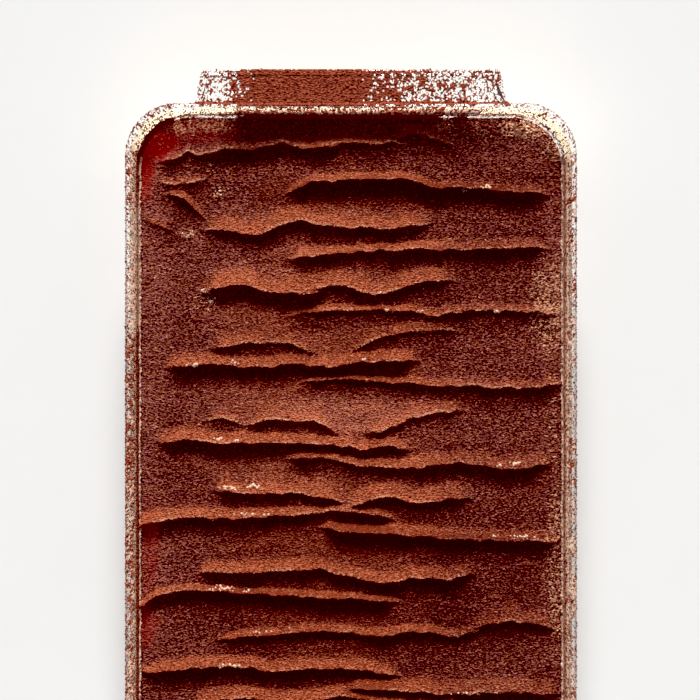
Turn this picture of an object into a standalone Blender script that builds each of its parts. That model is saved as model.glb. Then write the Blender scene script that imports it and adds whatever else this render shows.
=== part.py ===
"""Tiramisu in a clear glass baking dish.

Two solids in metres, +Z up, standing on z = 0 with the origin under the middle of the dish:
  dish      an oblong glass dish with drafted walls, a rolled rim and a flat tab handle at each end
  tiramisu  the filling up to its spooned surface, whose ridges lie across the dish like shingles
"""

import math

import bmesh
import bpy
import numpy as np

MM = 0.001

# Dish, in metres
HALF_WIDTH = 114 * MM  # outside of the rim, across
HALF_LENGTH = 166 * MM  # outside of the rim, along, without the handles
RIM_Z = 56 * MM  # top of the rolled rim
RIM_CORNER = 26.5 * MM  # corner radius of the rim's outside
RIM_BAND = 6.6 * MM  # from the rim's outside in to the wall, at the filling's level
INSIDE_CORNER = 26 * MM  # corner radius of the wall, at the filling's level
DRAFT = math.radians(9)  # both faces of the wall lean outwards by this
FLOOR = 4.6 * MM  # glass under the filling
INNER_ROUND = 9 * MM  # between floor and wall, inside
OUTER_ROUND = 12 * MM  # between foot and wall, outside
LIP = 2 * MM  # the rim stands this far out of the wall
LIP_Z = 50.3 * MM  # underside of the rim
WALL_TOP_Z = 53 * MM  # where the wall starts to roll over into the rim
RIM_FLAT = 1.6 * MM  # the rim's flat top starts this far in
RIM_EDGE = ((0.4 * MM, 0.5 * MM), (0.0, 1.5 * MM))  # its outer edge, as (inset, drop under the top)

# Handles: a flat tab at each end, a little under the rim's top
TAB_END = 183.6 * MM  # outer edge of the tab, from the dish's middle
TAB_HALF = 75.6 * MM  # half width at that edge
TAB_ROOT_HALF = 78.8 * MM  # half width where it leaves the rim
TAB_TOP_Z = 54.2 * MM
TAB_BOTTOM_Z = 49.4 * MM
TAB_CORNER = 4 * MM
TAB_ROOT_FILLET = 2.5 * MM
TAB_EDGE = 1.2 * MM  # the tab's edges are rounded over this much

# Filling
GAP = 0.3 * MM  # kept between the filling and the glass, all round
LEVEL_Z = 46.6 * MM  # the surface between the ridges
SIDE_Z = 41 * MM  # under this the filling just follows the wall
SURFACE_ROWS = 140
SURFACE_COLUMNS = 24

CORNER_STEPS = 6
ARC_STEPS = 3
ROOT_STEPS = 2
TOUCHING = 1e-7  # metres, less than this apart is the same place

# Each ridge was left by one pull of a spoon across the dish. It climbs slowly from the far side to a
# crest and drops steeply on the near side, into a shallow hollow. In millimetres.
DROP = 2.4  # width of the steep side
HOLLOW = 5.0  # how fast the hollow under it runs out
TAPER = 13.0  # a ridge dies away over this at each end

# For each third of the dish: the length of the climb, then its pulls from the far end to the near
# end. A pull is (rise, depth of the hollow, points of the crest from left to right).
LEFT_PULLS = (
    11,
    (
        (
            4.3, 1.8, (-104, 137), (-84, 142), (-76, 141), (-67, 145), (-34, 147), (-26, 145.5), (0, 147),
            (30, 146),
        ),
        (1.6, 0.4, (-104, 129), (-86, 126), (-68, 130)),
        (3.0, 1.6, (-98, 122), (-84, 117), (-78, 112), (-70, 102)),
        (1.7, 0.4, (-109, 109), (-98, 105), (-84, 99)),
        (
            4.0, 1.2, (-98, 32), (-85, 34), (-64, 34), (-46, 31), (-26, 35.5), (-10, 31.8), (14, 36.3),
            (38, 36),
        ),
        (4.1, 1.6, (-102, -6), (-84, -4), (-57, -6), (-42, -4.6), (-8, -7.2), (5, -10), (15, -8), (34, -9)),
        (3.3, 0.6, (-120, -58), (-107, -48), (-96, -45.2), (-60, -43.8), (-20, -41.5), (-6, -42), (2, -46)),
        (
            4.4, 0.9, (-122, -100), (-108, -89), (-98, -83), (-84, -81), (-50, -82), (-32, -83.3),
            (-10, -84.3), (28, -86),
        ),
        (4.2, 0.8, (-112, -123), (-88, -120.5), (-62, -119), (-36, -121.5), (-14, -120), (28, -124)),
        (3.2, 0.5, (-106, -150), (-78, -149), (-46, -151.5), (-16, -149), (20, -152)),
    ),
)
MIDDLE_PULLS = (
    19,
    (
        (3.2, 0.6, (16, 149), (38, 150.5), (46, 148), (60, 141)),
        (
            4.3, 0.9, (-80, 103), (-60, 101.4), (-51, 99.8), (-27, 107), (-14, 104.5), (0, 102.4),
            (24, 102), (46, 107),
        ),
        (4.7, 3.4, (-80, 70), (-67, 72.8), (-57, 74), (-42, 71.3), (-28, 70), (-8, 72)),
        (3.9, 0.6, (-32, 70.2), (-5, 74), (14, 69.6), (32, 75), (58, 78)),
        (2.8, 0.3, (-76, 41), (-56, 44.5), (-40, 45.6), (-12, 39)),
        (2.9, 0.2, (-4, 39), (6, 43), (14, 47), (26, 50.2), (60, 52)),
        (2.6, 0.2, (-78, 6), (-65, 6.8), (-48, 0)),
        (3.5, 0.7, (-58, 1.8), (-35, 6.7), (-27, 5), (-20, 5.4), (-2, -4)),
        (3.3, 0.5, (2, -2), (20, 2.2), (28, 6.2), (42, 9.2), (62, 11)),
        (3.7, 0.6, (-74, -30), (-52, -31), (-24, -31.6), (2, -37)),
        (3.8, 0.4, (-8, -41), (8, -35.5), (18, -33), (32, -36), (44, -34.6), (66, -34)),
        (
            4.1, 0.6, (-82, -72), (-58, -70.5), (-14, -69.5), (-2, -73), (21, -76.4), (33, -74), (44, -75),
            (68, -71),
        ),
        (3.8, 0.6, (-72, -106), (-44, -103), (-10, -101.6), (20, -103), (35, -101.4), (51, -104), (72, -98)),
        (4.1, 0.7, (-84, -138), (-52, -135.5), (-30, -137.5), (-4, -134.6), (18, -138), (64, -136)),
    ),
)
RIGHT_PULLS = (
    13,
    (
        (
            5.2, 1.1, (-36, 120), (-22, 126), (0, 127.6), (22, 128.5), (44, 124), (60, 123.7), (90, 121.5),
            (104, 120),
        ),
        (3.9, 0.5, (-36, 87), (-16, 90), (6, 91.6), (30, 92.2), (55, 91), (64, 92.6), (104, 93.5)),
        (3.5, 0.5, (-36, 59), (-16, 61.5), (24, 61.5), (43, 59.4), (56, 61), (110, 60)),
        (3.9, 0.5, (-30, 24), (-8, 26.8), (12, 26), (50, 23), (60, 23.4), (70, 22.6), (114, 24)),
        (
            3.8, 0.5, (-38, -13), (-12, -13.6), (4, -17), (34, -18.4), (48, -16), (60, -16.2), (76, -19),
            (106, -15),
        ),
        (4.5, 0.7, (-20, -49), (0, -50.5), (22, -51.7), (66, -55), (92, -55.4), (110, -56)),
        (3.5, 0.4, (56, -102), (69, -97.8), (92, -97), (110, -102)),
        (4.3, 0.6, (-8, -130), (22, -131.5), (50, -133.5), (80, -132), (110, -134)),
    ),
)
PULLS = (LEFT_PULLS, MIDDLE_PULLS, RIGHT_PULLS)


def clear_scene():
    for old in list(bpy.data.objects):
        bpy.data.objects.remove(old, do_unlink=True)


def material(name, color, roughness, transmission=0.0, ior=1.45):
    made = bpy.data.materials.new(name)
    made.use_nodes = True
    shader = made.node_tree.nodes["Principled BSDF"]
    shader.inputs["Base Color"].default_value = (*color, 1.0)
    shader.inputs["Roughness"].default_value = roughness
    shader.inputs["Metallic"].default_value = 0.0
    shader.inputs["Transmission Weight"].default_value = transmission
    shader.inputs["IOR"].default_value = ior
    return made


def finish(bm, name, made, sharp_angle):
    """Turns the bmesh into a named object at the origin, shaded smooth up to the angle."""
    bmesh.ops.recalc_face_normals(bm, faces=bm.faces)
    mesh = bpy.data.meshes.new(name)
    bm.to_mesh(mesh)
    bm.free()
    mesh.materials.append(made)
    mesh.shade_smooth()
    mesh.set_sharp_from_angle(angle=sharp_angle)
    piece = bpy.data.objects.new(name, mesh)
    bpy.context.scene.collection.objects.link(piece)
    return piece


def arc(centre_x, centre_y, radius, start, end, steps):
    """Points along an arc, ends included. The angles are in degrees."""
    angles = np.radians(np.linspace(start, end, steps + 1))
    return [(centre_x + radius * math.cos(a), centre_y + radius * math.sin(a)) for a in angles]


def corner_radius(inset):
    return min(RIM_CORNER, INSIDE_CORNER + RIM_BAND - inset)


def tab_outline(inset):
    """Half a tab, from its middle round its corner to the rim, each point further from the middle."""
    slant = math.atan2(TAB_ROOT_HALF - TAB_HALF, TAB_END - HALF_LENGTH)
    end = TAB_END - inset
    corner = max(TAB_CORNER - inset, TAB_CORNER / 4)
    root = TAB_ROOT_FILLET + inset

    def side(y):
        return TAB_HALF + (TAB_END - y) * math.tan(slant) - inset / math.cos(slant)

    corner_y = end - corner
    root_y = HALF_LENGTH + root
    corner_x = side(corner_y) - corner / math.cos(slant)
    root_x = side(root_y) + root / math.cos(slant)
    lean = math.degrees(slant)
    corner_arc = arc(corner_x, corner_y, corner, 90, lean, ARC_STEPS)
    root_arc = arc(root_x, root_y, root, 180 + lean, 270, ROOT_STEPS)
    return [(0.0, end), (TAB_HALF / 2, end)] + corner_arc + root_arc


def plan(inset, tab_inset=0.0, reach=0.0):
    """A loop of the dish seen from above, as (x, y, is it on a tab).

    At reach 1 it runs round the tabs. At 0 it passes them in a straight line, with as many points.
    """
    half_x, half_y, radius = HALF_WIDTH - inset, HALF_LENGTH - inset, corner_radius(inset)
    quarter = [(x, half_y + reach * (y - half_y), True) for x, y in tab_outline(tab_inset)]
    quarter[-1] = (quarter[-1][0], half_y, False)
    bend = arc(half_x - radius, half_y - radius, radius, 90, 0, CORNER_STEPS)
    quarter += [(x, y, False) for x, y in bend] + [(half_x, 0.0, False)]
    right = quarter + [(x, -y, tab) for x, y, tab in reversed(quarter[:-1])]
    return right + [(-x, y, tab) for x, y, tab in reversed(right[1:-1])]


def add_ring(bm, points, z, tab_z=None):
    """A closed loop of edges through the points. Those on a tab may have a height of their own."""
    heights = [z if tab_z is None or not tab else tab_z for _, _, tab in points]
    verts = [bm.verts.new((x, y, height)) for (x, y, _), height in zip(points, heights)]
    edges = [bm.edges.new((a, b)) for a, b in zip(verts, verts[1:] + verts[:1])]
    return verts, edges


def bridge(bm, rings):
    """Quads between each loop and the next, which has as many points."""
    for (lower, _), (upper, _) in zip(rings, rings[1:]):
        count = len(lower)
        for i in range(count):
            j = (i + 1) % count
            bm.faces.new((lower[i], lower[j], upper[j], upper[i]))


def wall_profile(inset_at, base_z, radius, gap=0.0):
    """(inset, z) up the bend between a floor and a drafted wall. gap moves it inwards."""
    centre_z = base_z + radius
    centre_inset = inset_at(centre_z) + radius / math.cos(DRAFT)
    return arc(centre_inset, centre_z, -(radius - gap), 90, math.degrees(DRAFT), ARC_STEPS)


def inside_inset(z):
    return RIM_BAND + (LEVEL_Z - z) * math.tan(DRAFT)


def outside_inset(z):
    return LIP + (LIP_Z - z) * math.tan(DRAFT)


def rim_profile():
    """(inset, z) from the wall's top over the rolled rim to its outer edge."""
    roll = RIM_Z - WALL_TOP_Z
    centre_inset = inside_inset(WALL_TOP_Z) - roll
    inner = arc(centre_inset, WALL_TOP_Z, roll, 0, 90, ARC_STEPS)
    return inner + [(RIM_FLAT, RIM_Z)] + [(inset, RIM_Z - drop) for inset, drop in RIM_EDGE]


def dish():
    bm = bmesh.new()
    inside = wall_profile(inside_inset, FLOOR, INNER_ROUND) + rim_profile()
    rings = [add_ring(bm, plan(inset), z) for inset, z in inside]
    # From here the loops run down the rim's outside and, where there is a tab, out along its top,
    # round its edge and back under it.
    soft = TAB_EDGE * 0.3
    for inset, z, tab_inset, tab_z, reach in (
        (0, TAB_TOP_Z, 0, TAB_TOP_Z, 0),
        (0, TAB_TOP_Z - soft, TAB_EDGE, TAB_TOP_Z, 1),
        (0, TAB_TOP_Z - 2 * soft, soft, TAB_TOP_Z - soft, 1),
        (0, TAB_TOP_Z - TAB_EDGE, 0, TAB_TOP_Z - TAB_EDGE, 1),
        (0, LIP_Z + TAB_EDGE, 0, TAB_BOTTOM_Z + TAB_EDGE, 1),
        (soft, LIP_Z + soft, TAB_EDGE, TAB_BOTTOM_Z, 1),
        (LIP, LIP_Z, LIP, TAB_BOTTOM_Z, 0),
    ):
        rings.append(add_ring(bm, plan(inset, tab_inset, reach), z, tab_z))
    outside = wall_profile(outside_inset, 0.0, OUTER_ROUND)
    rings += [add_ring(bm, plan(inset), z) for inset, z in reversed(outside)]
    bridge(bm, rings)
    bm.faces.new(rings[0][0])
    bm.faces.new(rings[-1][0])
    clear = material("clear_glass", (0.95, 0.97, 0.96), 0.03, transmission=1.0, ior=1.5)
    return finish(bm, "dish", clear, math.radians(35))


def smooth_step(t):
    t = np.clip(t, 0.0, 1.0)
    return t * t * (3 - 2 * t)


def crest_y(points, x):
    """A smooth line through the points of a crest, at each x."""
    px, py = np.array(points, float).T
    slope = np.gradient(py, px)
    i = np.clip(np.searchsorted(px, x) - 1, 0, len(px) - 2)
    span = px[i + 1] - px[i]
    t = np.clip((x - px[i]) / span, 0.0, 1.0)
    near = py[i] * (2 * t**3 - 3 * t**2 + 1) + slope[i] * span * (t**3 - 2 * t**2 + t)
    return near + py[i + 1] * (3 * t**2 - 2 * t**3) + slope[i + 1] * span * (t**3 - t**2)


def surface_height(x, y):
    """Height of the spooned surface over its level, all in millimetres."""
    raised = np.zeros_like(x)
    sunk = np.zeros_like(x)
    for climb, pulls in PULLS:
        for rise, hollow, *crest in pulls:
            ends = smooth_step((x - crest[0][0]) / TAPER) * smooth_step((crest[-1][0] - x) / TAPER)
            ahead = y - crest_y(crest, x)
            ramp = np.clip(1 - ahead / climb, 0.0, 1.0) ** 2
            face = smooth_step(1 + ahead / DROP)
            raised = np.maximum(raised, rise * ends * np.where(ahead > 0, ramp, face))
            foot = smooth_step(-ahead / DROP) * np.exp(-np.maximum(-ahead - DROP, 0) / HOLLOW)
            sunk = np.maximum(sunk, hollow * ends * foot)
    return raised - sunk


def half_width_at(y, inset):
    """Half the width of the loop with this inset, at each y."""
    side = sorted((side_y, side_x) for side_x, side_y, _ in plan(inset) if side_x > 0 and side_y >= 0)
    half_y = HALF_LENGTH - inset
    # Points on the straight end all share one y: the outermost is the corner's start.
    corner = [(side_y, side_x) for side_y, side_x in side if side_y < half_y - TOUCHING]
    corner.append((half_y, HALF_WIDTH - inset - corner_radius(inset)))
    ys, xs = np.array(corner).T
    return np.interp(np.abs(y), ys, xs)


def tiramisu():
    bm = bmesh.new()
    inset = RIM_BAND + GAP
    half_y = HALF_LENGTH - inset
    bmesh.ops.create_grid(bm, x_segments=SURFACE_COLUMNS, y_segments=SURFACE_ROWS, size=1.0)
    grid = list(bm.verts)
    across = np.array([v.co.x for v in grid])
    y = np.array([v.co.y for v in grid]) * half_y
    x = across * half_width_at(y, inset)
    z = LEVEL_Z + surface_height(x / MM, y / MM) * MM
    for v, place in zip(grid, zip(x, y, z)):
        v.co = place
    brim = [e for e in bm.edges if e.is_boundary]
    foot = wall_profile(inside_inset, FLOOR, INNER_ROUND, GAP)
    levels = [(inside_inset(SIDE_Z) + GAP, SIDE_Z)] + list(reversed(foot))
    rings = [add_ring(bm, plan(ring_inset), z) for ring_inset, z in levels]
    bmesh.ops.bridge_loops(bm, edges=brim + rings[0][1])
    bridge(bm, rings)
    bm.faces.new(rings[-1][0])
    cocoa = material("cocoa_dusted_cream", (0.17, 0.045, 0.022), 0.9)
    return finish(bm, "tiramisu", cocoa, math.radians(60))


clear_scene()
dish()
tiramisu()
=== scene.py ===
# %% [markdown]
# # A tray of tiramisu
#
# Tiramisu is made and served in its dish: sponge fingers soaked in coffee, mascarpone cream over them,
# and cocoa sieved over the top. Here the dish is clear glass with a flat tab handle at each end. The
# cream was spread with a spoon, one short pull after another across the dish, so its top lies in low
# ridges like roof tiles. The measured model gives the sizes, the pieces below give the looks.

# %% Load the measured model
import math

import bmesh
import bpy
import numpy as np
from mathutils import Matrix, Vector
from mathutils.bvhtree import BVHTree


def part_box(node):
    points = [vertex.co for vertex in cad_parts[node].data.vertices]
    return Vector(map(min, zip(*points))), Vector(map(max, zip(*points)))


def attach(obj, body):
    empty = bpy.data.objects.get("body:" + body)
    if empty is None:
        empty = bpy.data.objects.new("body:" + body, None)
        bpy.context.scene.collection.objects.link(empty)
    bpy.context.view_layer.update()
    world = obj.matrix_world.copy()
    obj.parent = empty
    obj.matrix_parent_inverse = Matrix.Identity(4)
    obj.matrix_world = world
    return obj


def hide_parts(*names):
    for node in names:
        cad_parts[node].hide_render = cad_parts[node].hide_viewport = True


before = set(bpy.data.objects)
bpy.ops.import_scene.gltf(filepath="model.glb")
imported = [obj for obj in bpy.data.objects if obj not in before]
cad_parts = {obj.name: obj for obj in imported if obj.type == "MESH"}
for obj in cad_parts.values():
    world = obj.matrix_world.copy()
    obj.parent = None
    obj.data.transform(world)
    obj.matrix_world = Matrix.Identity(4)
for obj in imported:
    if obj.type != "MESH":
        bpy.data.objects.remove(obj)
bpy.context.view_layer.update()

MM = 0.001
dish_low, dish_high = (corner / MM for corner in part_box("dish"))
food_low, food_high = (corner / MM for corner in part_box("tiramisu"))
HALF_WIDTH = dish_high.x
TAB_END = dish_high.y
RIM_Z = dish_high.z
print("dish, in mm:", [round(size, 1) for size in dish_high - dish_low])
print("top of the filling, in mm:", round(food_high.z, 1))

# %% [markdown]
# ## Finishes
#
# A finish is a small network of nodes. Writing each Math node by hand hides the sum that it stands for,
# so a Wire wraps a socket and adds the nodes when it is added to, multiplied and so on. Colours are
# mixed by Mix nodes, because a Math node would turn a colour grey.

# %% A wire that can be reckoned with
class Wire:
    def __init__(self, paint, socket):
        self.paint = paint
        self.socket = socket

    def reckon(self, operation, first, second):
        return self.paint.node("ShaderNodeMath", {"operation": operation}, {0: first, 1: second})

    def __add__(self, other):
        return self.reckon("ADD", self, other)

    def __sub__(self, other):
        return self.reckon("SUBTRACT", self, other)

    def __mul__(self, other):
        return self.reckon("MULTIPLY", self, other)

    def __truediv__(self, other):
        return self.reckon("DIVIDE", self, other)

    def __rsub__(self, other):
        return self.reckon("SUBTRACT", other, self)

    __radd__ = __add__
    __rmul__ = __mul__

    def between(self, start, end):
        """0 up to start and 1 from end on, with a smooth rise, or a fall where start is the larger."""
        settings = {"interpolation_type": "SMOOTHSTEP"}
        if start <= end:
            return self.paint.node("ShaderNodeMapRange", settings,
                                   {"Value": self, "From Min": start, "From Max": end})
        return 1 - self.between(end, start)


# %% A paint: the finish that is being mixed
class Paint:
    def __init__(self, name, roughness, sheen_of_light=0.5):
        self.finish = bpy.data.materials.new(name)
        self.finish.use_nodes = True
        self.tree = self.finish.node_tree
        self.surface = self.tree.nodes["Principled BSDF"]
        self.surface.inputs["Roughness"].default_value = roughness
        self.surface.inputs["Specular IOR Level"].default_value = sheen_of_light
        self.place = self.node("ShaderNodeTexCoord", output="Object")

    def node(self, kind, settings=None, sockets=None, output=0):
        made = self.tree.nodes.new(kind)
        for name, value in (settings or {}).items():
            setattr(made, name, value)
        for key, value in (sockets or {}).items():
            self.feed(made.inputs[key], value)
        return Wire(self, made.outputs[output])

    def feed(self, socket, value):
        if isinstance(value, Wire):
            self.tree.links.new(value.socket, socket)
        elif socket.type == "RGBA":
            socket.default_value = (*value, 1.0)
        else:
            socket.default_value = value

    def wear(self, **looks):
        """Feeds sockets of the surface, such as Base_Color."""
        for name, value in looks.items():
            self.feed(self.surface.inputs[name.replace("_", " ")], value)

    def blend(self, first, second, share):
        """A colour between two."""
        return self.node("ShaderNodeMix", {"data_type": "RGBA"}, {0: share, 6: first, 7: second}, output=2)

    def noise(self, size, detail=2.0, wide=1.0):
        """Soft random spots, size millimetres long and wide times as wide, from 0 to 1."""
        spot = self.node("ShaderNodeVectorMath", {"operation": "MULTIPLY"},
                         {0: self.place, 1: (1 / wide, 1.0, 1.0)})
        return self.node("ShaderNodeTexNoise", {}, {"Vector": spot, "Scale": 1 / (size * MM),
                                                    "Detail": detail, "Roughness": 0.6})

    def stored(self, name):
        """A number that the mesh keeps at each of its points."""
        return self.node("ShaderNodeAttribute", {"attribute_name": name}, output="Fac")

    def bump(self, height, depth, strength=1.0):
        """A bumped normal: height from 0 to 1 stands for depth millimetres."""
        return self.node("ShaderNodeBump", {}, {"Height": height, "Distance": depth * MM,
                                                "Strength": strength})


# %% [markdown]
# ### Cocoa
#
# Sieved cocoa falls as tiny clumps. Where the cream under it is wet it soaks them dark, and the flat
# parts look like brown gravel; the low parts of each clump are painted darker still, a painted shade
# in the pits, and the highest tips get a pinkish painted highlight. On the steep pulls that climb
# towards the lamp the powder lies dry and fine, a warmer, lighter brown, partly painted light on their
# lit side, and a pale lip along the crests is partly crumbs and partly a painted highlight. The mesh
# stores how dry and lit each point is, how high it sits on its clump, how much dust lies there, where
# the cream shows through and where coffee has seeped up, so the colour and the relief agree.

# %% Cocoa on the cream
# What the mesh stores for the finish; several of these carry painted light and shade as well.
LOOKS = ("tip_and_pit_shade", "dust_light_and_shade", "dry_and_lit", "bare", "damp_and_glow", "crest_lip_and_highlight")


def cocoa_on_cream():
    paint = Paint("cocoa_dusted_cream", roughness=0.92, sheen_of_light=0.1)
    tip_and_pit_shade, dust_light_and_shade, dry_and_lit, bare, damp_and_glow, crest_lip_and_highlight = (paint.stored(name) for name in LOOKS)
    grain = paint.noise(0.75, detail=1, wide=1.7)
    # Low grain and low clumps are painted darker, a painted shade in the pits that the bump shades as well.
    rise = (grain - 0.5) * 3.8 + tip_and_pit_shade * 0.5 + dust_light_and_shade * 0.35 + 0.25
    warm = paint.noise(3.5).between(0.4, 0.6)
    pale = paint.blend((0.490, 0.152, 0.106), (0.465, 0.144, 0.070), warm)
    # Wet cocoa on the flats, from dark pits to pale tips: its own soaked colour with a painted shade in the pits.
    soaked_shade_and_highlight = paint.blend((0.048, 0.0080, 0.0048), pale, rise.between(-0.06, 1.28))
    # A pinkish painted highlight on the highest tips.
    soaked_shade_and_highlight = paint.blend(soaked_shade_and_highlight, (0.620, 0.268, 0.250), rise.between(0.8, 1.5) * 0.6)
    # Dry powder on the slopes that climb towards the lamp, lighter: partly painted light on their lit side, with
    # painted shade in its pits.
    powdery_and_lit = paint.blend((0.250, 0.0490, 0.0180), (0.700, 0.200, 0.096), rise.between(-0.5, 1.3))
    brown = paint.blend(soaked_shade_and_highlight, powdery_and_lit, dry_and_lit + (paint.noise(7) - 0.5) * 0.5)
    # A pale lip along the crests: crumbs of cream and a painted highlight where the crest catches the lamp.
    brown = paint.blend(brown, (0.850, 0.380, 0.230), crest_lip_and_highlight * rise.between(-0.3, 0.6))
    seeped = paint.blend(brown, (0.170, 0.0185, 0.0125), damp_and_glow)
    cream = paint.blend((0.60, 0.215, 0.095), (1.0, 0.58, 0.36), paint.noise(1.4))
    mottle = (paint.noise(1.5, detail=2) - 0.5) * 3.4
    shows = (bare * 0.95 + mottle + (rise - 0.5) * 0.3).between(0.68, 0.84)
    relief = paint.bump(grain * (1 - damp_and_glow * 0.7), 4.4)
    # The damp patches glow faintly red by emission: painted light, not a lamp.
    glow = paint.blend((0.0, 0.0, 0.0), (0.130, 0.0, 0.0), damp_and_glow)
    paint.wear(Base_Color=paint.blend(seeped, cream, shows), Normal=relief, Emission_Color=glow,
               Emission_Strength=1.0)
    return paint.finish


# %% Loose cocoa
def loose_cocoa():
    paint = Paint("loose_cocoa", roughness=0.93, sheen_of_light=0.1)
    grain = paint.noise(0.75, detail=1, wide=1.7)
    # Low grain and the low parts of a crust are painted darker, a painted shade in its hollows; loose grains differ
    # in tone at random.
    rise = (grain - 0.5) * 3.2 + paint.stored("shade") * 0.5 + 0.25
    brown = paint.blend((0.095, 0.0170, 0.0085), (0.530, 0.140, 0.070), rise.between(-0.2, 1.2))
    paint.wear(Base_Color=brown, Normal=paint.bump(grain, 2.4, 1.0))
    return paint.finish


# %% [markdown]
# ### Cream, and the layers against the glass
#
# Mascarpone cream is pale, a little warm and not quite matt. Against the glass it shows between two
# rows of soaked sponge fingers. Fingers are laid across the dish, so their round ends show along its
# sides. Here that is a pattern by height and by place along the wall, drawn as rounded lozenges.

# %% Cream
def plain_cream():
    paint = Paint("cream", roughness=0.55, sheen_of_light=0.35)
    streak = paint.noise(1.2, detail=3)
    dusty = paint.noise(0.8, detail=3).between(0.52, 0.68)
    pale = paint.blend((0.66, 0.38, 0.24), (0.92, 0.68, 0.52), streak)
    paint.wear(Base_Color=paint.blend(pale, (0.26, 0.065, 0.03), dusty * 0.75),
               Normal=paint.bump(streak, 0.15, 0.6))
    return paint.finish


# %% Layers against the glass
FINGER_WIDTH = 25.0
FINGER_HEIGHT = 11.5
FINGER_ROWS = (11.5, 29.5)
COCOA_EDGE = 45.2


def layers_at_the_glass():
    paint = Paint("layers_at_the_glass", roughness=0.6, sheen_of_light=0.3)
    wander = (paint.noise(16, detail=1) - 0.5) * 7 + (paint.noise(5) - 0.5) * 3 + (paint.noise(1.5) - 0.5) * 1.5
    split = paint.node("ShaderNodeSeparateXYZ", {}, {0: paint.place}).socket.node
    across, along, height = (Wire(paint, socket) for socket in split.outputs)
    # Along the sides a finger's end shows, across the ends of the dish a finger's whole side.
    far_across, far_along = (paint.node("ShaderNodeMath", {"operation": "ABSOLUTE"}, {0: way}) for way in (across, along))
    on_side = far_across.between(0.094, 0.098)
    # The fingers stop short of the round corners.
    uneven = wander * (MM / 3)
    corner = (far_across + uneven).between(0.088, 0.090) * (far_along + uneven).between(0.139, 0.141)
    run = along * on_side + across * (1 - on_side) * 0.29
    sponge, core = None, None
    for row, middle in enumerate(FINGER_ROWS):
        step = (run / MM / FINGER_WIDTH) + 0.5 * row
        off = paint.node("ShaderNodeMath", {"operation": "PINGPONG"}, {0: step, 1: 0.5}) * 2
        rise = (height / MM + wander - middle) / (FINGER_HEIGHT / 2)
        lozenge = off * off * off * off + rise * rise
        inside, heart = lozenge.between(1.10, 0.75), lozenge.between(0.95, 0.15)
        sponge, core = (inside, heart) if row == 0 else (sponge + inside, core + heart)
    crumb = paint.noise(1.6, detail=4)
    cream = paint.blend((0.68, 0.52, 0.35), (0.80, 0.68, 0.51), paint.noise(5))
    biscuit = paint.blend((0.13, 0.052, 0.019), (0.50, 0.275, 0.125), (crumb - 0.5) * 1.2 + core * 0.7 + 0.1)
    colour = paint.blend(cream, biscuit, sponge * (1 - corner))
    topmost = (height / MM + wander * 0.4).between(COCOA_EDGE - 0.5, COCOA_EDGE + 0.3)
    colour = paint.blend(colour, (0.10, 0.026, 0.014), topmost)
    paint.wear(Base_Color=colour, Normal=paint.bump(crumb, 0.25, 0.5))
    return paint.finish


# %% [markdown]
# ### Glass
#
# The dish is pressed soda-lime glass, clear with a slight wave where it cooled in the mould. Cycles
# gives no light through refraction to what stands behind it without very many samples, so shadow rays
# see a faintly tinted clear surface instead, as thin glass would let them pass.

# %% Clear glass
def clear_glass():
    paint = Paint("clear_glass", roughness=0.02)
    paint.wear(Base_Color=(0.975, 0.985, 0.980), IOR=1.5, Transmission_Weight=1.0,
               Normal=paint.bump(paint.noise(14, detail=1), 0.05, 0.5))
    glass = Wire(paint, paint.surface.outputs["BSDF"])
    shade_ray = paint.node("ShaderNodeLightPath", output="Is Shadow Ray")
    clear = paint.node("ShaderNodeBsdfTransparent", {}, {"Color": (0.95, 0.965, 0.96)})
    both = paint.node("ShaderNodeMixShader", {}, {0: shade_ray, 1: glass, 2: clear})
    paint.tree.links.new(both.socket, paint.tree.nodes["Material Output"].inputs["Surface"])
    return paint.finish


COCOA_ON_CREAM, LOOSE_COCOA, CREAM = cocoa_on_cream(), loose_cocoa(), plain_cream()
LAYERS, GLASS = layers_at_the_glass(), clear_glass()
print("finishes:", [finish.name for finish in bpy.data.materials if finish.use_nodes])


# %% [markdown]
# ## The glass dish
#
# A pressed dish has no square edge anywhere: the floor rounds up into walls that lean outwards, and the
# walls roll over into a rim. It could be one box with bevels, but the leaning wall and the tabs that
# grow out of the rim only on the ends suit another way: one loop of edges is drawn up the inside, over
# the rim and down the outside, and each copy of it is laid out on the dish's plan at its own height.

# %% The plan of the dish
HALF_LENGTH = 166.0
RIM_CORNER = 26.5
RIM_BAND = 6.6
INSIDE_CORNER = 26.0
LEVEL_Z = 46.6
DRAFT = math.radians(9)
TAB_HALF, TAB_ROOT_HALF = 75.6, 78.8
TAB_CORNER, TAB_ROOT_FILLET = 4.0, 2.5


def arc(centre_x, centre_y, radius, start, end, steps):
    turns = np.radians(np.linspace(start, end, steps + 1))
    return [(centre_x + radius * math.cos(a), centre_y + radius * math.sin(a)) for a in turns]


def corner_radius(inset):
    return np.minimum(RIM_CORNER, INSIDE_CORNER + RIM_BAND - inset)


def tab_outline(inset):
    """Half a tab, from its middle round its corner to the rim."""
    slant = math.atan2(TAB_ROOT_HALF - TAB_HALF, TAB_END - HALF_LENGTH)
    end, corner = TAB_END - inset, max(TAB_CORNER - inset, TAB_CORNER / 4)
    root = TAB_ROOT_FILLET + inset

    def side(y):
        return TAB_HALF + (TAB_END - y) * math.tan(slant) - inset / math.cos(slant)

    corner_y, root_y = end - corner, HALF_LENGTH + root
    lean = math.degrees(slant)
    round_end = arc(side(corner_y) - corner / math.cos(slant), corner_y, corner, 90, lean, 8)
    round_root = arc(side(root_y) + root / math.cos(slant), root_y, root, 180 + lean, 270, 5)
    return [(x, end) for x in np.linspace(0, TAB_HALF - TAB_CORNER - 1, 6)] + round_end + round_root


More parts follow.
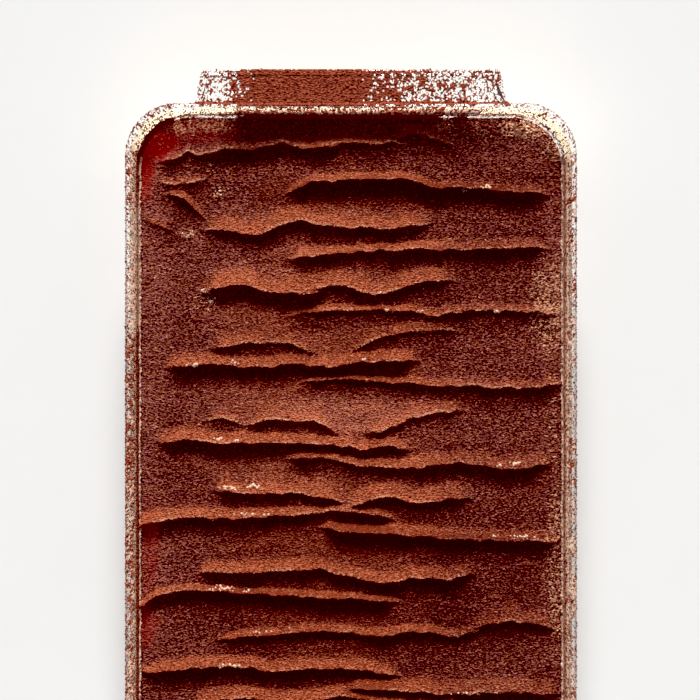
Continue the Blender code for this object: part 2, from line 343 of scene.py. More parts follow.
def plan(inset, tab_inset=0.0, reach=0.0):
    """The dish from above as a loop of (x, y, is it on a tab). Reach 1 runs round the tabs."""
    half_x, half_y, radius = HALF_WIDTH - inset, HALF_LENGTH - inset, corner_radius(inset)
    quarter = [(x, half_y + reach * (y - half_y), True) for x, y in tab_outline(tab_inset)]
    quarter[-1] = (quarter[-1][0], half_y, False)
    quarter += [(x, y, False) for x, y in arc(half_x - radius, half_y - radius, radius, 90, 0, 20)]
    quarter += [(half_x, 0.0, False)]
    right = quarter + [(x, -y, tab) for x, y, tab in reversed(quarter[:-1])]
    return right + [(-x, y, tab) for x, y, tab in reversed(right[1:-1])]


print("points on the plan:", len(plan(0)))

# %% The walls, as (inset from the rim, height)
FLOOR, INNER_ROUND, OUTER_ROUND = 4.6, 9.0, 12.0
LIP, LIP_Z, WALL_TOP_Z = 2.0, 50.3, 53.0


def inside_inset(z):
    return RIM_BAND + (LEVEL_Z - z) * math.tan(DRAFT)


def outside_inset(z):
    return LIP + (LIP_Z - z) * math.tan(DRAFT)


def wall_profile(inset_at, base_z, radius, gap=0.0, steps=8):
    """The round between floor and wall, and the foot of the wall. gap moves it inwards."""
    centre_z = base_z + radius
    centre_inset = inset_at(centre_z) + radius / math.cos(DRAFT)
    return arc(centre_inset, centre_z, -(radius - gap), 90, math.degrees(DRAFT), steps)


# %% Draw one loop over the dish
def draw_up(bm, edges, places):
    """Extrudes a loop of edges and lays the new one out on the places, in the loop's own order."""
    order = bm.verts.layers.int["order"]
    grown = bmesh.ops.extrude_edge_only(bm, edges=edges)["geom"]
    for vert in (part for part in grown if isinstance(part, bmesh.types.BMVert)):
        vert.co = Vector(places[vert[order]]) * MM
    return [part for part in grown if isinstance(part, bmesh.types.BMEdge)]


def first_loop(bm, places):
    order = bm.verts.layers.int.new("order")
    verts = [bm.verts.new(Vector(place) * MM) for place in places]
    for index, vert in enumerate(verts):
        vert[order] = index
    return [bm.edges.new(pair) for pair in zip(verts, verts[1:] + verts[:1])]


def finished(bm, name, finishes, sharp_angle, stands_for=None):
    """Turns the bmesh into a piece that rides on the one body."""
    mesh = bpy.data.meshes.new(name)
    bm.to_mesh(mesh)
    bm.free()
    return dressed(mesh, name, finishes, sharp_angle, stands_for)


def dressed(mesh, name, finishes, sharp_angle, stands_for=None):
    for finish in finishes:
        mesh.materials.append(finish)
    mesh.shade_smooth()
    mesh.set_sharp_from_angle(angle=math.radians(sharp_angle))
    piece = bpy.data.objects.new(name, mesh)
    bpy.context.scene.collection.objects.link(piece)
    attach(piece, "root")
    if stands_for:
        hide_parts(stands_for)
    mesh.calc_loop_triangles()
    print(name, "has", len(mesh.loop_triangles), "triangles")
    return piece


# %% Make the dish
TAB_TOP_Z, TAB_BOTTOM_Z, TAB_EDGE = 54.2, 49.4, 1.2


def rim_profile():
    """From the wall's top over the rim to its outer edge, as (inset, height)."""
    roll, rise = inside_inset(WALL_TOP_Z), RIM_Z - WALL_TOP_Z
    inner = [(roll - (1 - math.cos(a)) * rise, WALL_TOP_Z + math.sin(a) * rise)
             for a in np.radians(np.linspace(0, 90, 9))]
    outer = [(1.6 * (1 - math.sin(a)), RIM_Z - 1.6 * (1 - math.cos(a)))
             for a in np.radians(np.linspace(0, 90, 6))]
    return inner + outer


def tab_profile():
    """From the rim out over a tab, round its edge and back, as (inset, z, tab inset, tab z, reach)."""
    bead = 3.0  # a fine raised line runs round the tab this far in
    rows = [(0, TAB_TOP_Z + 0.1, 0, TAB_TOP_Z, 0), (0, TAB_TOP_Z, bead + 0.7, TAB_TOP_Z, 1),
            (0, TAB_TOP_Z - 0.05, bead, TAB_TOP_Z + 0.35, 1),
            (0, TAB_TOP_Z - 0.1, bead - 0.7, TAB_TOP_Z, 1)]
    for a in np.radians(np.linspace(0, 90, 6)):
        inset, drop = TAB_EDGE * (1 - math.sin(a)), TAB_EDGE * (1 - math.cos(a))
        rows.append((0, TAB_TOP_Z - 0.15 - drop, inset, TAB_TOP_Z - drop, 1))
    for a in np.radians(np.linspace(90, 0, 6)):
        inset, lift = TAB_EDGE * (1 - math.sin(a)), TAB_EDGE * (1 - math.cos(a))
        rows.append((inset * 0.4, LIP_Z + lift, inset, TAB_BOTTOM_Z + lift, 1))
    return rows + [(LIP, LIP_Z, LIP, TAB_BOTTOM_Z, 0)]


def glass_dish():
    bm = bmesh.new()
    inside = wall_profile(inside_inset, FLOOR, INNER_ROUND)
    rows = [(inset, z, 0, z, 0) for inset, z in inside + rim_profile()] + tab_profile()
    rows += [(inset, z, 0, z, 0) for inset, z in reversed(wall_profile(outside_inset, 0, OUTER_ROUND))]
    loops = [[(x, y, tab_z if tab and reach else z) for x, y, tab in plan(inset, tab_inset, reach)]
             for inset, z, tab_inset, tab_z, reach in rows]
    edges = first_loop(bm, loops[0])
    bmesh.ops.contextual_create(bm, geom=edges)
    for loop in loops[1:]:
        edges = draw_up(bm, edges, loop)
    bmesh.ops.contextual_create(bm, geom=edges)
    bmesh.ops.recalc_face_normals(bm, faces=bm.faces)
    return finished(bm, "glass_dish", [GLASS], 38, "dish")


dish = glass_dish()

# %% [markdown]
# ## The filling's top
#
# Each pull of the spoon leaves one ridge. Seen along the dish it climbs slowly to a crest, then drops
# steeply into a shallow hollow, and it dies away at both of its ends. Sculpting would be one way, but a
# height for every point, worked out from the pulls, gives ridges that are easy to move and to deepen.
# The pulls were made in three rows, left, middle and right, which overlap in the middle of the dish.

# %% The pulls: climb, rise, hollow, and the crest's points from left to right, in mm
LEFT_PULLS = (
    (5, 2.4, 0.6, (-104, 138), (-92, 138.8), (-87, 139.8), (-82.5, 142.4), (-79.5, 140.6), (-74, 141),
     (-69, 141.6), (-64.5, 143.8), (-60, 143.2), (-46, 144.3), (-36, 146.8), (-29, 145.7), (-22, 144.3), (-12, 145.7), (0, 146.5),
     (20, 146.8), (32, 146)),
    (6, 4.4, 1.4, (-80, 139.6), (-74, 140.8), (-69, 141.4), (-64.5, 143.4), (-60, 143), (-46, 144.1), (-36, 146.5), (-22, 144.1), (-10, 145.5),
     (2, 146)),
    (6, 1.4, 0.3, (-104, 129), (-86, 126), (-68, 130)),
    (7, 2.8, 1.2, (-98, 122), (-84, 117), (-78, 112), (-70, 102)),
    (6, 1.2, 0.3, (-109, 109), (-98, 105), (-84, 99)),
    (9, 4.4, 1.5, (-98, 32), (-85, 33.6), (-64, 33.6), (-46, 32.4), (-30, 34.6), (-12, 33.2), (10, 35.6),
     (38, 36)),
    (9, 4.1, 1.8, (-102, -6), (-84, -4), (-57, -6), (-42, -5), (-8, -7), (5, -8.6), (15, -7.6), (34, -9)),
    (8, 4.0, 0.9, (-120, -58), (-107, -48), (-96, -45.2), (-60, -43.8), (-20, -41.5), (-4, -40.5), (10, -42),
     (26, -45)),
    (4, 4.6, 1.4, (-122, -100), (-108, -89), (-98, -83), (-84, -81), (-50, -82), (-32, -83.3), (-10, -84.3),
     (28, -86)),
    (7, 4.2, 1.0, (-112, -123), (-88, -120.5), (-62, -119), (-36, -121.5), (-14, -120), (28, -124)),
    (10, 3.2, 0.5, (-106, -150), (-78, -149), (-46, -151.5), (-16, -149), (20, -152)),
)
MIDDLE_PULLS = (
    (8, 2.2, 0.3, (16, 149), (38, 150.5), (46, 148), (60, 141)),
    (13, 4.0, 0.7, (-80, 103), (-60, 101.4), (-51, 99.8), (-27, 107), (-14, 105), (0, 103.8), (24, 103.6),
     (46, 107)),
    (14, 5.2, 2.4, (-80, 70), (-67, 72.8), (-57, 74), (-42, 71.3), (-28, 70), (-8, 72)),
    (12, 3.4, 0.4, (-32, 70.2), (-5, 74), (14, 69.6), (32, 75), (58, 78)),
    (12, 2.4, 0.3, (-76, 41), (-56, 44.5), (-40, 45.6), (-12, 39)),
    (12, 2.0, 0.2, (-4, 39), (6, 43), (14, 47), (26, 50.2), (60, 52)),
    (9, 1.9, 0.2, (-78, 6), (-65, 6.8), (-48, 0)),
    (12, 3.5, 0.7, (-58, 1.8), (-35, 6.7), (-27, 5), (-20, 5.4), (-2, -4)),
    (12, 2.9, 0.4, (2, -2), (20, 2.2), (28, 6.2), (42, 9.2), (62, 11)),
    (12, 3.7, 0.6, (-74, -30), (-52, -31), (-24, -31.6), (2, -37)),
    (12, 3.8, 0.4, (-8, -41), (8, -35.5), (18, -33), (32, -36), (44, -34.6), (66, -34)),
    (8, 4.4, 0.8, (-82, -72), (-58, -71), (-36, -70.4), (-14, -69.8), (-2, -73), (21, -76.4), (33, -74),
     (44, -75), (68, -71)),
    (5, 3.4, 0.8, (-72, -106), (-44, -103), (-10, -101.6), (20, -103), (35, -101.4), (51, -104), (72, -98)),
    (9, 4.1, 0.8, (-84, -138), (-52, -135.5), (-30, -137.5), (-4, -134.6), (18, -138), (64, -136)),
)
RIGHT_PULLS = (
    (5, 5.4, 1.4, (-36, 120), (-22, 126), (0, 127.6), (22, 128.5), (44, 124), (60, 123.7), (90, 121.5), (104, 120)),
    (7, 3.9, 0.8, (-36, 87), (-16, 90), (6, 91.6), (30, 92.6), (55, 92.6), (64, 93), (104, 93.5)),
    (6, 2.5, 0.4, (-36, 59), (-16, 61.5), (24, 61.5), (43, 59.4), (56, 61), (110, 60)),
    (5, 2.9, 0.6, (-30, 24), (-8, 26.8), (12, 26), (50, 23), (60, 23.4), (70, 22.6), (114, 24)),
    (8, 4.2, 0.7, (-38, -13), (-12, -13.6), (4, -17), (34, -18.4), (48, -16), (60, -16.2), (76, -19), (106, -15)),
    (7, 5.0, 1.0, (-20, -49), (0, -50.5), (22, -51.7), (66, -55), (92, -55.4), (110, -56)),
    (12, 3.5, 0.4, (56, -102), (69, -97.8), (92, -97), (110, -102)),
    (10, 4.3, 0.8, (-8, -130), (22, -131.5), (50, -133.5), (80, -132), (110, -134)),
)
PULLS = LEFT_PULLS + MIDDLE_PULLS + RIGHT_PULLS
print("pulls of the spoon:", len(PULLS))

# %% Random but repeatable unevenness
TABLE = 256


def lumps(x, y, size, seed):
    """Smooth random heights from -1 to 1, one every size millimetres."""
    table = np.random.default_rng(seed).uniform(-1, 1, (TABLE, TABLE))
    column, row = np.floor(x / size).astype(int), np.floor(y / size).astype(int)
    u, v = smooth_step(x / size - column), smooth_step(y / size - row)

    def at(i, j):
        return table[(row + j) % TABLE, (column + i) % TABLE]

    lower = at(0, 0) * (1 - u) + at(1, 0) * u
    upper = at(0, 1) * (1 - u) + at(1, 1) * u
    return lower * (1 - v) + upper * v


def clumps(x, y, size, seed):
    """Heights from 0 to 1 of round clumps of mixed sizes, one to each cell of that size."""
    rng = np.random.default_rng(seed)
    shift_x, shift_y, radius, top = rng.uniform(0, 1, (4, TABLE, TABLE))
    column, row = np.floor(x / size).astype(int), np.floor(y / size).astype(int)
    highest = np.zeros_like(x)
    for i in (-1, 0, 1):
        for j in (-1, 0, 1):
            cell = (row + j) % TABLE, (column + i) % TABLE
            far = np.hypot(x / size - column - i - shift_x[cell], y / size - row - j - shift_y[cell])
            dome = np.sqrt(np.clip(1 - (far / (0.42 + 0.38 * radius[cell])) ** 2, 0, 1))
            highest = np.maximum(highest, dome * (0.45 + 0.55 * top[cell]))
    return highest


def smooth_step(t):
    t = np.clip(t, 0.0, 1.0)
    return t * t * (3 - 2 * t)


# %% The ridges
DROP, RUN_OUT, LEE, TAPER = 2.0, 12.0, 16.0, 14.0
STEEP_SHARE = 0.58


def crest_y(points, x):
    """A smooth line through the points of a crest, at each x."""
    px, py = np.array(points, float).T
    slope = np.gradient(py, px)
    i = np.clip(np.searchsorted(px, x) - 1, 0, len(px) - 2)
    span = px[i + 1] - px[i]
    t = np.clip((x - px[i]) / span, 0.0, 1.0)
    near = py[i] * (2 * t**3 - 3 * t**2 + 1) + slope[i] * span * (t**3 - 2 * t**2 + t)
    return near + py[i + 1] * (3 * t**2 - 2 * t**3) + slope[i + 1] * span * (t**3 - t**2)


def spooned(x, y):
    """Height of the spooned cream over its level, and from 0 to 1 how near a crest and how much behind it, where
    shade is painted.
    """
    raised, sunk, brink, lee_shade = (np.zeros_like(x) for _ in range(4))
    for number, (climb, rise, hollow, *crest) in enumerate(PULLS):
        ends = smooth_step((x - crest[0][0]) / TAPER) * smooth_step((crest[-1][0] - x) / TAPER)
        ragged = 0.7 * lumps(x, 0 * y, 5.0, 100 + number) + 0.25 * lumps(x, 0 * y, 1.6, 200 + number)
        ahead = y - crest_y(crest, x) - ragged
        ramp = np.clip(1 - ahead / climb, 0.0, 1.0) ** 2
        behind = np.maximum(-ahead, 0)
        face = STEEP_SHARE * smooth_step(1 - behind / DROP)
        face += (1 - STEEP_SHARE) * smooth_step(1 - behind / RUN_OUT)
        swell = rise * ends * (1 + 0.2 * lumps(x, 0 * y, 13.0, 300 + number))
        raised = np.maximum(raised, swell * np.where(ahead > 0, ramp, face))
        foot = smooth_step(behind / DROP) * smooth_step(1 - (behind - DROP) / RUN_OUT)
        sunk = np.maximum(sunk, hollow * ends * foot)
        brink = np.maximum(brink, ends * np.exp(-((ahead - 0.2) / 0.7) ** 2))
        # How far behind a crest, used to paint shade there.
        lee_shade = np.maximum(lee_shade, ends * (ahead < 0) * smooth_step(1 - behind / LEE))
    return raised - sunk, brink, lee_shade


# %% Cocoa, gravel and all
def cocoa_top(x, y):
    """Height over the level in mm, and the looks that the finish reads."""
    height, brink, lee_shade = spooned(x, y)
    further = spooned(x, y + 0.8)[0]
    climbing = (height - further) / 0.8
    # Dry, lighter powder on the slopes that climb towards the lamp: partly painted light on their lit side.
    dry_and_lit = smooth_step(climbing / 0.5 + 0.2 * lumps(x, y, 4, 9)) * (1 - 0.6 * smooth_step((x - 30) / 30))
    # Painted shade: less dry powder at the far left end, which lies in the far wall's shadow.
    dry_and_lit *= 1 - 0.8 * smooth_step((y - 128) / 8) * smooth_step((-20 - x) / 20)
    # Warmer dry powder in the sieved patch, held back behind crests as painted shade.
    dry_and_lit = np.maximum(dry_and_lit, patches(x, y, SIEVED) * (1 - lee_shade))
    # Patches darkened by seeped coffee, which the finish also makes glow faintly as painted light.
    damp_and_glow = damp_and_glow_patches(x, y)
    slid = smooth_step((climbing - 0.6) / 0.8)
    # More or less dust: thinner behind crests, on slides and in the thin patches, thicker in the dusted patches;
    # the darkening behind crests is painted shade, the patches partly painted shade and light.
    dust_light_and_shade = patches(x, y, DUSTED_AND_LIT) - patches(x, y, THIN_AND_SHADED) - 1.4 * lee_shade - 0.9 * slid + 0.3 * lumps(x, y, 14, 14)
    gravel = clumps(x / 1.2, y, 1.25, 1) * 0.6 + clumps(x / 1.2, y, 0.85, 2) * 0.4
    # Height on its clump, which the finish also turns into painted shade in the pits.
    tip_and_pit_shade = smooth_step(gravel * 1.5 - 0.25)
    height = height + 0.75 * lumps(x, y, 24, 3) + 0.30 * lumps(x, y, 7, 4) + 0.15 * lumps(x, y, 3.4, 13)
    height = height + 0.18 * lumps(x / 7, y, 2.6, 5) + 0.10 * lumps(x, y, 1.1, 6)
    height = height + (0.80 - 0.40 * dry_and_lit) * (1 - 0.7 * damp_and_glow) * (gravel - 0.35)
    height = height + 0.6 * brink * (clumps(x, y, 2.4, 10) - 0.3)
    # Where the crest's pale lip and painted highlight break off.
    broken = smooth_step(0.5 + 0.9 * lumps(x, y, 9, 11) + 0.6 * lumps(x, y, 2, 12))
    return height, tip_and_pit_shade, dust_light_and_shade, dry_and_lit, patches(x, y, BARE), damp_and_glow, brink * broken


# %% [markdown]
# Cocoa never falls evenly. In places the cream shows through it as tan mottling, mostly in the corners
# and down the right-hand side, and coffee has seeped up by the left wall and darkened it; these damp
# patches also glow faintly red, a painted light. Behind each crest the dust is made thinner and darker,
# a painted shade; patches of thinner dust are partly painted shade and patches of more dust partly
# painted light.

# %% Where the cream shows, where it is damp and glows, and where more or less dust lies, partly painted light and shade: (x, y, half sizes, strength)
BARE = (
    (101, 64, 9, 24, 0.75), (105, -68, 6, 40, 0.68), (88, 154, 14, 5, 0.85), (103, 146, 6, 9, 0.70),
    (-82, 155, 24, 4, 0.72), (-99, 149, 5, 7, 0.45), (58, 152, 26, 6, 0.45), (104, 10, 5, 30, 0.35),
    (-75, 66, 6, 4, 0.50), (-67, 122, 5, 3, 0.50), (-83, 100, 5, 3, 0.45), (-73, 135, 6, 4, 0.4),
)
# Damp patches, darkened by coffee and glowing faintly red as painted light.
DAMP_AND_GLOW = (
    (-99, 146, 10, 7, 1.0), (-105, 136, 5, 16, 0.8), (-105, -99, 5, 10, 0.4), (-102, -60, 4, 20, 0.3),
    (-80, 152, 16, 6, 0.4),
)
# More dust, and so lighter: partly painted light.
DUSTED_AND_LIT = (
    (-104, 60, 10, 90, 0.8), (-104, -80, 10, 60, 0.4), (-60, 92, 20, 30, 0.4), (-60, 10, 20, 12, 0.5),
    (104, 60, 6, 60, 0.5), (-90, 152, 30, 12, 0.9), (100, 150, 16, 12, 0.5), (5, 8, 42, 9, 1.2),
)
# Thinner dust, and so darker: partly painted shade.
THIN_AND_SHADED = (
    (50, -75, 45, 30, 0.7), (-15, -58, 45, 12, 0.9), (-30, -95, 50, 12, 0.9), (0, -130, 60, 25, 0.6),
    (80, 100, 20, 20, 0.3), (15, 121, 70, 7, 0.9), (-10, 28, 30, 6, 0.6),
)


SIEVED = ((-12, 0, 48, 115, 0.45),)


def patches(x, y, table):
    found = np.zeros_like(x)
    for middle_x, middle_y, half_x, half_y, strength in table:
        far = np.hypot((x - middle_x) / half_x, (y - middle_y) / half_y)
        found = np.maximum(found, strength * smooth_step(1.6 - far))
    return found


def damp_and_glow_patches(x, y):
    return patches(x + 2 * lumps(x, y, 6, 7), y + 2 * lumps(x, y, 6, 8), DAMP_AND_GLOW)


# %% [markdown]
# ## Building the filling
#
# The powdery top needs a point about every half millimetre, so the top layer of cream is five strips
# side by side along the dish, each a closed slab. The powdery top needs a point about every half
# millimetre, more than one piece should hold. They share the points of their common edges, so nothing
# shows where they meet. The slab's sides reach a hair into the glass, because cream wets the wall and
# leaves no air behind.

# %% From the square of the grid to the round-cornered dish
INTO_GLASS = 0.2
STRIPS, COLUMNS, ROWS = 5, 104, 840
SLAB_Z = 36.0
BRIM_INSET = RIM_BAND - INTO_GLASS


def half_width_at(y, inset):
    """Half the width at y of the dish's plan with this inset."""
    radius = corner_radius(inset)
    into_corner = np.clip(np.abs(y) - (HALF_LENGTH - inset - radius), 0, radius)
    return HALF_WIDTH - inset - radius + np.sqrt(radius**2 - into_corner**2)


def laid_out(u, v, inset):
    """(x, y) in mm of a point of the square from -1 to 1."""
    y = v * (HALF_LENGTH - inset)
    return u * half_width_at(y, inset), y


def numbers(mesh, name, values):
    mesh.attributes.new(name, "FLOAT", "POINT").data.foreach_set("value", values.astype(np.float32))


# %% Make the strips
def top_strip(index):
    bm = bmesh.new()
    bmesh.ops.create_grid(bm, x_segments=COLUMNS, y_segments=ROWS, size=1.0)
    for face in bm.faces:
        face.material_index = 0
    brim = [edge for edge in bm.edges if edge.is_boundary]
    grown = bmesh.ops.extrude_edge_only(bm, edges=brim)["geom"]
    for vert in (part for part in grown if isinstance(part, bmesh.types.BMVert)):
        vert.co.z = -1
    for face in (part for part in grown if isinstance(part, bmesh.types.BMFace)):
        face.material_index = 1
    hem = [part for part in grown if isinstance(part, bmesh.types.BMEdge)]
    for face in bmesh.ops.contextual_create(bm, geom=hem)["faces"]:
        face.material_index = 1
    name = f"cocoa_top_{index + 1}"
    mesh = bpy.data.meshes.new(name)
    bmesh.ops.recalc_face_normals(bm, faces=bm.faces)
    bm.to_mesh(mesh)
    bm.free()
    place = np.empty(len(mesh.vertices) * 3, np.float32)
    mesh.vertices.foreach_get("co", place)
    place = place.reshape(-1, 3).astype(float)
    u, v, low = (index + 0.5 + place[:, 0] / 2) / STRIPS * 2 - 1, place[:, 1], place[:, 2] < -0.5
    x, y = laid_out(u, v, BRIM_INSET)
    height, *looks = cocoa_top(x, y)
    low_x, low_y = laid_out(u, v, inside_inset(SLAB_Z) - INTO_GLASS)
    x, y = np.where(low, low_x, x), np.where(low, low_y, y)
    z = np.where(low, SLAB_Z, LEVEL_Z + height)
    mesh.vertices.foreach_set("co", (np.stack([x, y, z], 1) * MM).astype(np.float32).ravel())
    for look, values in zip(LOOKS, looks):
        numbers(mesh, look, values)
    mesh.update()
    return dressed(mesh, name, [COCOA_ON_CREAM, LAYERS], 75, "tiramisu")


strips = [top_strip(index) for index in range(STRIPS)]

# %% The layers under it
def lower_layers():
    bm = bmesh.new()
    foot = wall_profile(inside_inset, FLOOR - INTO_GLASS, INNER_ROUND + INTO_GLASS)
    rows = foot + [(inside_inset(SLAB_Z), SLAB_Z)]
    loops = [[(x, y, z) for x, y, _ in plan(inset - INTO_GLASS)] for inset, z in rows]
    edges = first_loop(bm, loops[0])
    bmesh.ops.contextual_create(bm, geom=edges)
    for loop in loops[1:]:
        edges = draw_up(bm, edges, loop)
    bmesh.ops.contextual_create(bm, geom=edges)
    bmesh.ops.recalc_face_normals(bm, faces=bm.faces)
    return finished(bm, "sponge_and_cream", [LAYERS], 40, "tiramisu")


layers = lower_layers()

# %% [markdown]
# ## Loose cocoa and flecks of cream
#
# The sieve was shaken past the edge: the handle and the rim are dusted too, solid in the middle of the
# handle and peppered towards its ends. Thousands of grains could be particles, but those are lost when
# the model is exported, so each kind is one mesh: a few lumpy shapes, copied, turned and sized by
# arrays. Grains on the glass are dropped on it from above, to lie where a ray from the sky would land.

# %% Shapes of a grain
def grain_shapes(count, segments, rings, lumpiness, seed):
    """Small balls pushed out of round, as (points, triangles)."""
    rng = np.random.default_rng(seed)
    shapes = []
    for _ in range(count):
        bm = bmesh.new()
        bmesh.ops.create_uvsphere(bm, u_segments=segments, v_segments=rings, radius=0.5)
        bmesh.ops.triangulate(bm, faces=bm.faces)
        for vert in bm.verts:
            vert.co *= rng.uniform(1 - lumpiness, 1 + lumpiness)
        points = np.array([vert.co for vert in bm.verts])
        shapes.append((points, np.array([[vert.index for vert in face.verts] for face in bm.faces])))
        bm.free()
    return shapes


SPECKS = grain_shapes(6, 4, 2, 0.30, 20)
GRAINS = grain_shapes(8, 5, 3, 0.25, 21)
FLECKS = grain_shapes(6, 8, 5, 0.20, 22)
print("triangles of a speck, a grain, a fleck:", [len(kind[0][1]) for kind in (SPECKS, GRAINS, FLECKS)])


# %% Copy them by arrays
def turned(rng, count):
    """Random turns, as matrices."""
    quaternion = rng.normal(size=(count, 4))
    w, x, y, z = (quaternion / np.linalg.norm(quaternion, axis=1, keepdims=True)).T
    rows = [[1 - 2 * (y * y + z * z), 2 * (x * y - w * z), 2 * (x * z + w * y)],
            [2 * (x * y + w * z), 1 - 2 * (x * x + z * z), 2 * (y * z - w * x)],
            [2 * (x * z - w * y), 2 * (y * z + w * x), 1 - 2 * (x * x + y * y)]]
    return np.array(rows).transpose(2, 0, 1)


def scattered(name, shapes, places, sizes, finish, seed, flat=1.0):
    """One mesh of copies of the shapes, at places (x, y, z) in mm, sizes mm across."""
    rng = np.random.default_rng(seed)
    kinds = rng.integers(len(shapes), size=len(places))
    turns = turned(rng, len(places))
    points, faces, shades, used = [], [], [], 0
    for kind, (shape, triangles) in enumerate(shapes):
        chosen = kinds == kind
        copies = np.einsum("mij,nj->mni", turns[chosen], shape) * sizes[chosen][:, None, None]
        copies[:, :, 2] *= flat
        copies += places[chosen][:, None, :]
        first = used + np.arange(len(copies))[:, None, None] * len(shape)
        points.append(copies.reshape(-1, 3))
        faces.append((triangles[None] + first).reshape(-1, 3))
        shades.append(np.repeat(rng.uniform(0, 1, len(copies)), len(shape)))
        used += len(copies) * len(shape)
    mesh = bpy.data.meshes.new(name)
    mesh.from_pydata(np.concatenate(points) * MM, [], np.concatenate(faces))
    numbers(mesh, "shade", np.concatenate(shades))
    return dressed(mesh, name, [finish], 60)


# %% Drop points on the glass
dish_tree = BVHTree.FromObject(dish, bpy.context.evaluated_depsgraph_get())


def landed(x, y):
    """The points (x, y, z) in mm where things dropped at x, y land on the dish, without those that miss."""
    found = []
    for place in zip(x * MM, y * MM):
        hit = dish_tree.ray_cast(Vector((*place, 0.1)), Vector((0, 0, -1)))[0]
        if hit and hit.z > 0.047:
            found.append(hit / MM)
    return np.array(found)


def thinned(rng, x, y, rate, most):
    """Keeps each point with the chance rate / most."""
    kept = rng.uniform(0, most, len(x)) < rate
    return x[kept], y[kept]


# %% [markdown]
# ### Dusted glass
#
# Where cocoa lies thick on the glass it is a crust with holes and a ragged edge, with stray specks
# around it. A crust is a fine grid bent over the glass: the points where nothing lies are deleted, and
# what is left is extruded outwards by an uneven amount. The smears of cream are made the same way.

# %% A walk round the rim, and over it
walk_points = np.array([(x, y) for x, y, _ in plan(0)] + [plan(0)[0][:2]])
walk_steps = np.hypot(*np.diff(walk_points, axis=0).T)
walk_length = walk_steps.sum()
walk_at = np.concatenate([[0], np.cumsum(walk_steps)])

over_line = np.array(rim_profile()[::-1] + [(inside_inset(LEVEL_Z - 4.5), LEVEL_Z - 4.5)])
over_steps = np.hypot(*np.diff(over_line, axis=0).T)
over_length = over_steps.sum()
over_at = np.concatenate([[0], np.cumsum(over_steps)])


def round_the_rim(walked, inset):
    """(x, y) after that walk in mm along the rim, on the loop with that inset."""
    x, y = (np.interp(walked, walk_at, walk_points[:, axis]) for axis in (0, 1))
    radius = corner_radius(inset)
    spot = []
    for value, half in ((x, HALF_WIDTH), (y, HALF_LENGTH)):
        straight = half - RIM_CORNER
        turned_by = np.clip(np.abs(value) - straight, 0, RIM_CORNER) / RIM_CORNER
        along = np.minimum(np.abs(value), straight) * (half - inset - radius) / straight
        spot.append(np.sign(value) * (along + radius * turned_by))
    return spot


def over_the_rim(walked, over):
    """Points on the rim that far over it from its outer edge, and the ways out of the glass there."""
    inset, z = (np.interp(over, over_at, over_line[:, axis]) for axis in (0, 1))
    inset_ahead, z_ahead = (np.interp(over + 0.2, over_at, over_line[:, axis]) for axis in (0, 1))
    x, y = round_the_rim(walked, inset)
    inner_x, inner_y = round_the_rim(walked, inset + 0.5)
    inwards = np.hypot(inner_x - x, inner_y - y)
    fall, step = z - z_ahead, inset_ahead - inset
    out = np.stack([(inner_x - x) / inwards * fall, (inner_y - y) / inwards * fall, step], 1)
    return np.stack([x, y, z], 1), out / np.linalg.norm(out, axis=1, keepdims=True)


print("round the rim, and over it, in mm:", round(walk_length, 1), round(over_length, 1))

# %% How much of the glass is covered
ALL = 1.3
HANDLE_COVER = ((-80, 0.53), (-60, 0.57), (-56, 0.87), (-53, 1.0), (-46, ALL), (0, ALL), (8, 1.0), (18, 0.90),
                (28, 0.78), (45, 0.67), (55, 0.61), (80, 0.56))
HOLE_X, HOLE_Y, HOLE_RADIUS = 65.0, 172.2, 7.6


def handle_cover(x, y):
    cover = np.interp(x + 3 * lumps(x, y, 5, 30), *zip(*HANDLE_COVER))
    from_arch = np.hypot(np.abs(x) - HOLE_X, np.maximum(y - HOLE_Y, 0)) - HOLE_RADIUS
    cover += np.where(x > 0, 0.7, 0.3) * np.exp(-(from_arch / 0.4) ** 2) - 0.12 * (from_arch < 0) * (x > 0)
    cover += 0.9 * np.exp(-((y - 166.3) / 0.6) ** 2) - 0.5 * smooth_step((y - TAB_END + 1.2) / 1.2)
    return cover + 0.15 * lumps(x, y, 5, 31)


